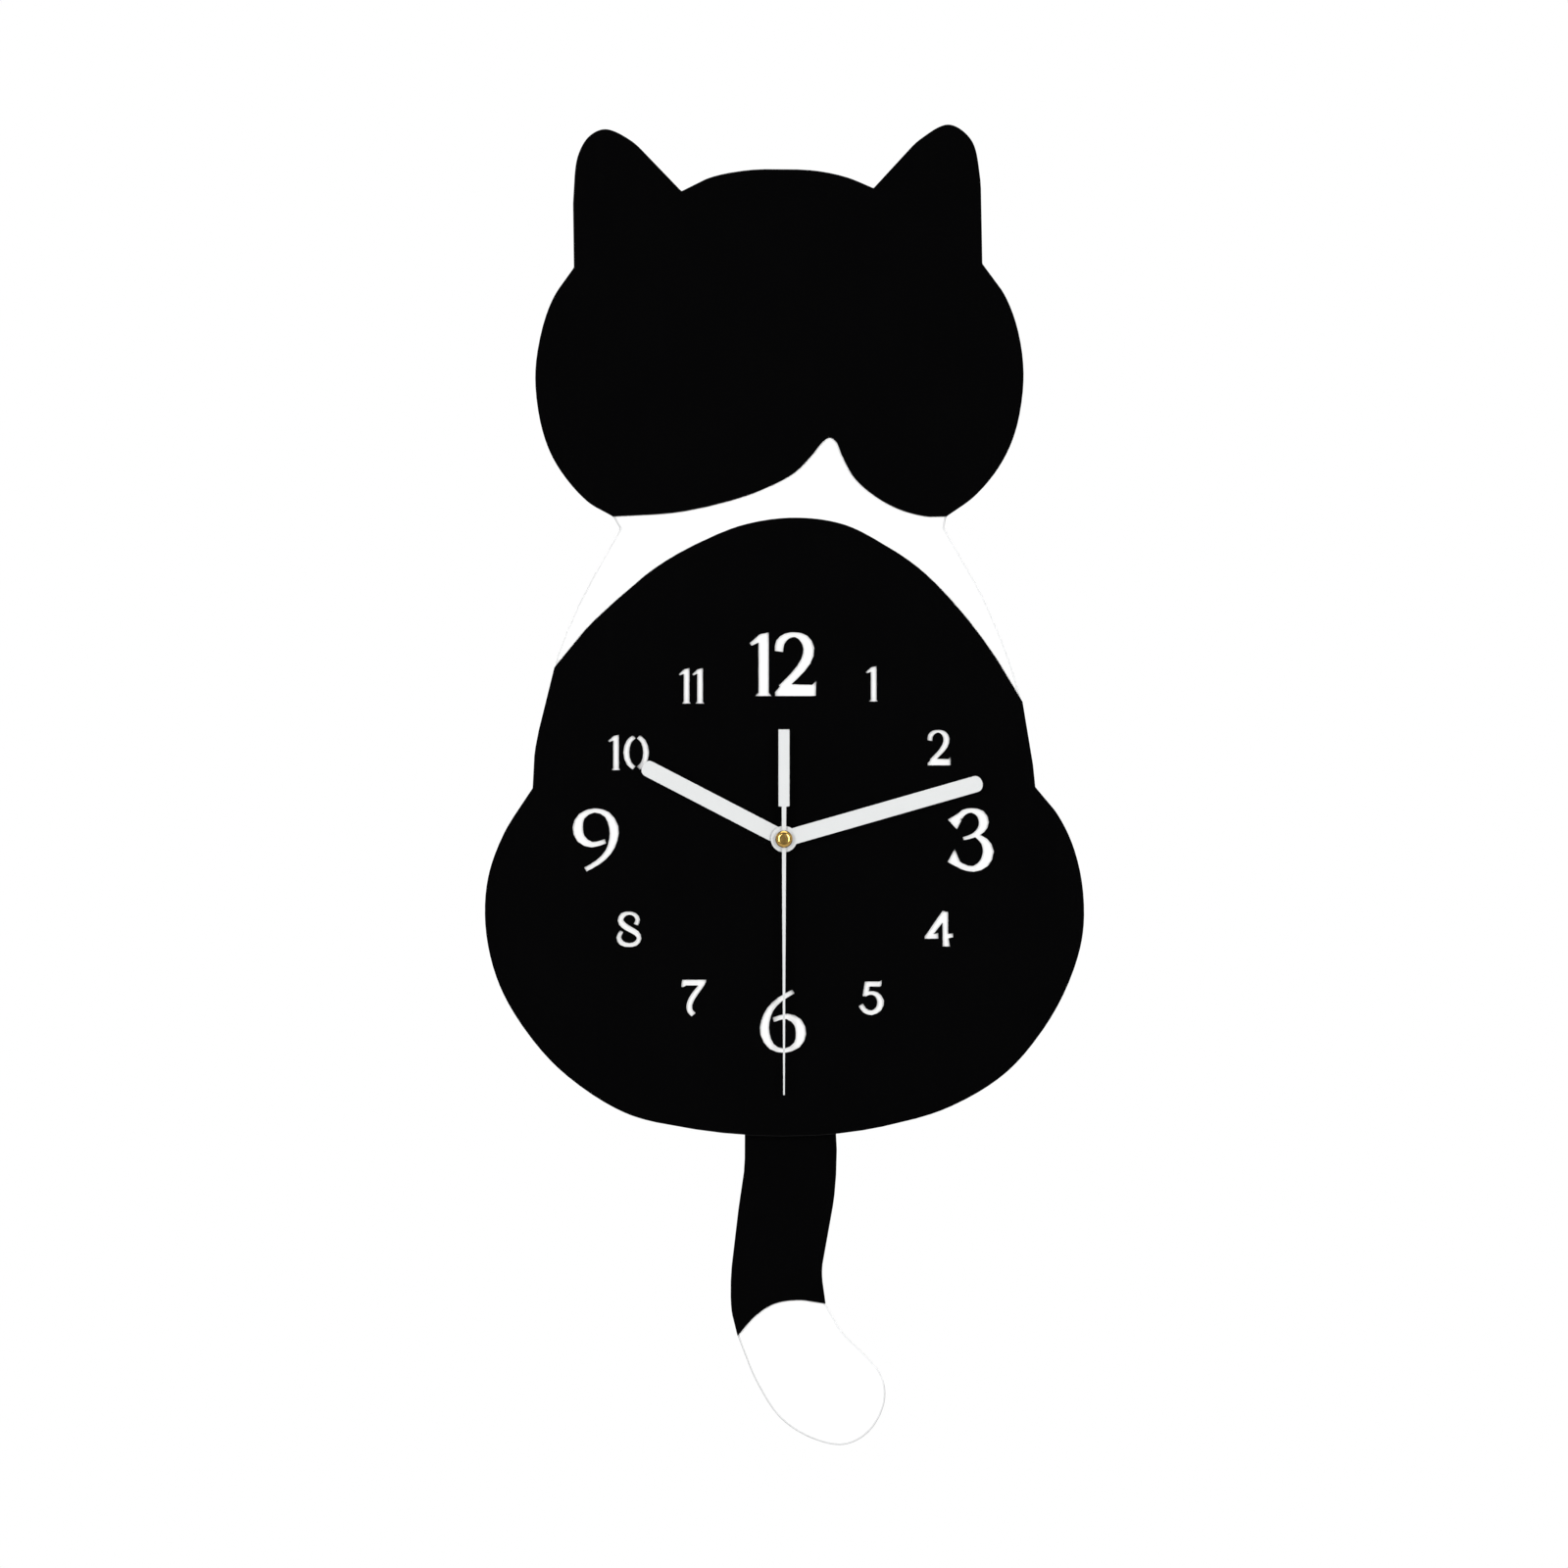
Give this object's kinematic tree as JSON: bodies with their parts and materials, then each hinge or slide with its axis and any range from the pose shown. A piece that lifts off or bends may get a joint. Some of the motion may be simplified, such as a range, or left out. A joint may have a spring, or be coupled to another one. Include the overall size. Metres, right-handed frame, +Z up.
{
  "type": "cat tail clock",
  "caption": "Flat acrylic wall clock shaped like a sitting cat seen from behind, with a stencil-numeral dial, three hands and a tail that swings as a pendulum.",
  "frame": {"origin": "middle of the upper edge of the hanger bracket's slot, where the wall hook or nail bears", "axes": "+Z up, +X to the right as the dial is read, -Y out of the dial towards the viewer; the wall plane is y = 0"},
  "size_m": [0.2356, 0.0332, 0.5196],
  "materials": {
    "white_acrylic": "polished sheet",
    "black_acrylic": "polished sheet",
    "painted_hands": "white paint on thin sheet",
    "case_plastic": "fine moulded texture",
    "gear_plastic": "moulded acetal",
    "brass": "satin",
    "steel": "zinc plated",
    "magnet": "nickel plated",
    "copper": "enamelled wire",
    "circuit_board": "solder resist",
    "rubber": "matt",
    "foam": "matt",
    "cell": "glossy printed sleeve"
  },
  "bodies": {
    "clock_body": {"base_plate": "white_acrylic", "head_overlay": "black_acrylic", "back_overlay": "black_acrylic", "case_front": "case_plastic", "case_back": "case_plastic", "train_bridge": "case_plastic", "ic_blob": "case_plastic", "coil_bobbin": "case_plastic", "drive_case_front": "case_plastic", "drive_case_back": "case_plastic", "drive_ic_blob": "case_plastic", "hex_nut": "brass", "brass_washer": "brass", "hanger_bracket": "steel", "stator": "steel", "coil_core": "steel", "quartz_crystal": "steel", "battery_contact_minus": "steel", "battery_contact_plus": "steel", "drive_contact_plus": "steel", "drive_contact_minus": "steel", "pivot_pin": "steel", "drive_case_screw_1": "steel", "drive_case_screw_2": "steel", "drive_case_screw_3": "steel", "coil_winding": "copper", "drive_coil": "copper", "circuit_board": "circuit_board", "drive_board": "circuit_board", "rubber_washer": "rubber", "foam_pad_left": "foam", "foam_pad_right": "foam"},
    "minute_train": {"cannon_pinion": "brass", "centre_wheel": "brass", "minute_hand": "painted_hands"},
    "motion_train": {"motion_wheel": "gear_plastic"},
    "hour_train": {"hour_wheel": "gear_plastic", "hour_hand": "painted_hands"},
    "knob": {"setting_knob": "gear_plastic"},
    "third_train": {"third_wheel": "gear_plastic"},
    "second_train": {"second_wheel": "gear_plastic", "second_hand": "painted_hands", "second_hand_boss": "brass"},
    "fifth_train": {"fifth_wheel": "gear_plastic"},
    "rotor": {"rotor_pinion": "gear_plastic", "rotor_magnet": "magnet"},
    "pendulum": {"swing_arm": "case_plastic", "arm_magnet": "magnet", "tail_adhesive_pad": "foam", "tail_plate": "white_acrylic", "tail_overlay": "black_acrylic"},
    "time_cell": {"time_battery": "cell"},
    "drive_cell": {"drive_battery": "cell"}
  },
  "joints": [
    {"name": "minute_turn", "type": "hinge", "parent": "clock_body", "child": "minute_train", "pos_m": [0, -0.012, -0.042], "axis": [0, 1, 0], "continuous": true},
    {"name": "motion_turn", "type": "hinge", "parent": "clock_body", "child": "motion_train", "pos_m": [0.0053, -0.012, -0.0367], "axis": [0, 1, 0], "continuous": true},
    {"name": "hour_turn", "type": "hinge", "parent": "clock_body", "child": "hour_train", "pos_m": [0, -0.012, -0.042], "axis": [0, 1, 0], "continuous": true},
    {"name": "knob_turn", "type": "hinge", "parent": "clock_body", "child": "knob", "pos_m": [0.01235, -0.012, -0.03926], "axis": [0, 1, 0], "continuous": true},
    {"name": "third_turn", "type": "hinge", "parent": "clock_body", "child": "third_train", "pos_m": [-0.00601, -0.012, -0.03599], "axis": [0, 1, 0], "continuous": true},
    {"name": "second_turn", "type": "hinge", "parent": "clock_body", "child": "second_train", "pos_m": [0, -0.012, -0.042], "axis": [0, 1, 0], "continuous": true},
    {"name": "fifth_turn", "type": "hinge", "parent": "clock_body", "child": "fifth_train", "pos_m": [-0.00634, -0.012, -0.04496], "axis": [0, 1, 0], "continuous": true},
    {"name": "rotor_turn", "type": "hinge", "parent": "clock_body", "child": "rotor", "pos_m": [-0.01198, -0.012, -0.04291], "axis": [0, 1, 0], "continuous": true},
    {"name": "tail_swing", "type": "hinge", "parent": "clock_body", "child": "pendulum", "pos_m": [0.00322, -0.01, -0.088], "axis": [0, 1, 0], "range_deg": [-10, 10]},
    {"name": "time_battery_slide", "type": "slide", "parent": "clock_body", "child": "time_cell", "axis": [0, 1, 0], "range_m": [0, 0.018]},
    {"name": "drive_battery_slide", "type": "slide", "parent": "clock_body", "child": "drive_cell", "axis": [0, 1, 0], "range_m": [0, 0.018]}
  ],
  "couplings": [
    {"joint": "motion_turn", "follows": "minute_turn", "ratio": -0.33333},
    {"joint": "hour_turn", "follows": "minute_turn", "ratio": 0.083333},
    {"joint": "knob_turn", "follows": "minute_turn", "ratio": 1},
    {"joint": "third_turn", "follows": "minute_turn", "ratio": -8},
    {"joint": "second_turn", "follows": "minute_turn", "ratio": 60},
    {"joint": "fifth_turn", "follows": "minute_turn", "ratio": -360},
    {"joint": "rotor_turn", "follows": "minute_turn", "ratio": 1800}
  ]
}
